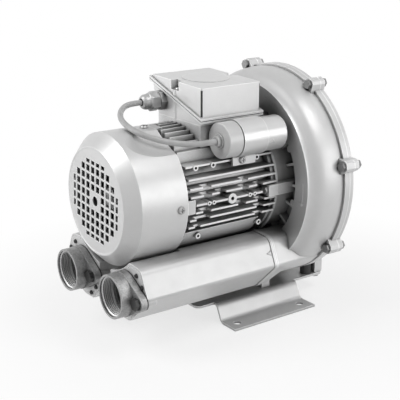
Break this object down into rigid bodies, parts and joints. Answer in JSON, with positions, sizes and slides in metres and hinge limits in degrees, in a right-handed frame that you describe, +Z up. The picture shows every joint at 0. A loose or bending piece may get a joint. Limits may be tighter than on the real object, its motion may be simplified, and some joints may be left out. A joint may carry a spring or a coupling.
{
  "type": "side channel blower",
  "caption": "Side channel blower with a flanged motor, threaded inlet and outlet on silencers, a terminal box, a run capacitor and a bent sheet bracket.",
  "frame": {"origin": "centre of the four foot holes, on the floor plane under the bracket's feet", "axes": "+Z up; +Y along the motor shaft from the fan cowl and the ports towards the impeller; +X towards the capacitor's side"},
  "size_m": [0.2906, 0.3456, 0.3131],
  "materials": {
    "cast_paint": "fine silver hammer paint on aluminium castings",
    "cowl_paint": "smooth silver paint on pressed steel",
    "bracket_paint": "smooth silver paint on bent steel sheet",
    "raw_cast": "rough cast with machined faces",
    "zinc": "zinc plated",
    "black_steel": "blackened",
    "rubber": "matte",
    "steel": "ground",
    "laminations": "varnished laminations",
    "copper": "varnished copper wire",
    "impeller_metal": "cast and turned",
    "black_plastic": "moulded",
    "brass": "turned",
    "gland_metal": "nickel plated brass",
    "cap_can": "drawn can",
    "cap_plastic": "grey moulding",
    "cable_sheath": "grey sheath",
    "foam": "open-cell absorber"
  },
  "bodies": {
    "blower_body": {"base_bracket": "bracket_paint", "bracket_screws": "zinc", "capacitor_cable": "cable_sheath", "capacitor_can": "cap_can", "capacitor_cap": "cap_plastic", "capacitor_clamp": "zinc", "casing_bolts": "zinc", "casing_cover": "cast_paint", "casing_front": "cast_paint", "casing_nuts": "zinc", "clamp_screw": "zinc", "cowl_screws": "zinc", "drive_bearing_outer": "steel", "end_shield_screws": "zinc", "fan_cowl": "cowl_paint", "flange_bolts": "black_steel", "gland_body": "gland_metal", "gland_nut": "gland_metal", "gland_seal": "rubber", "lid_gasket": "rubber", "lid_screws": "zinc", "motor_frame": "cast_paint", "plate_screws": "zinc", "port_flange_left": "raw_cast", "port_flange_right": "raw_cast", "port_gasket_left": "rubber", "port_gasket_right": "rubber", "rear_bearing_outer": "steel", "rear_end_shield": "cast_paint", "rubber_buffers": "rubber", "shaft_seal": "rubber", "silencer_foam_left": "foam", "silencer_foam_right": "foam", "silencer_left": "cast_paint", "silencer_plate_left": "cast_paint", "silencer_plate_right": "cast_paint", "silencer_right": "cast_paint", "stator_core": "laminations", "stator_windings": "copper", "terminal_block": "black_plastic", "terminal_box_base": "cast_paint", "terminal_box_lid": "cast_paint", "terminal_studs": "brass", "tie_screws": "zinc"},
    "rotor": {"shaft": "steel", "shaft_keys": "steel", "rotor_core": "laminations", "impeller": "impeller_metal", "impeller_washer": "zinc", "impeller_nut": "zinc", "cooling_fan": "black_plastic", "fan_clip": "zinc", "drive_bearing_inner": "steel", "rear_bearing_inner": "steel", "drive_bearing_balls": "steel", "rear_bearing_balls": "steel"}
  },
  "joints": [
    {"name": "rotor_spin", "type": "hinge", "parent": "blower_body", "child": "rotor", "pos_m": [0, 0, 0.174], "axis": [0, 1, 0], "continuous": true}
  ]
}
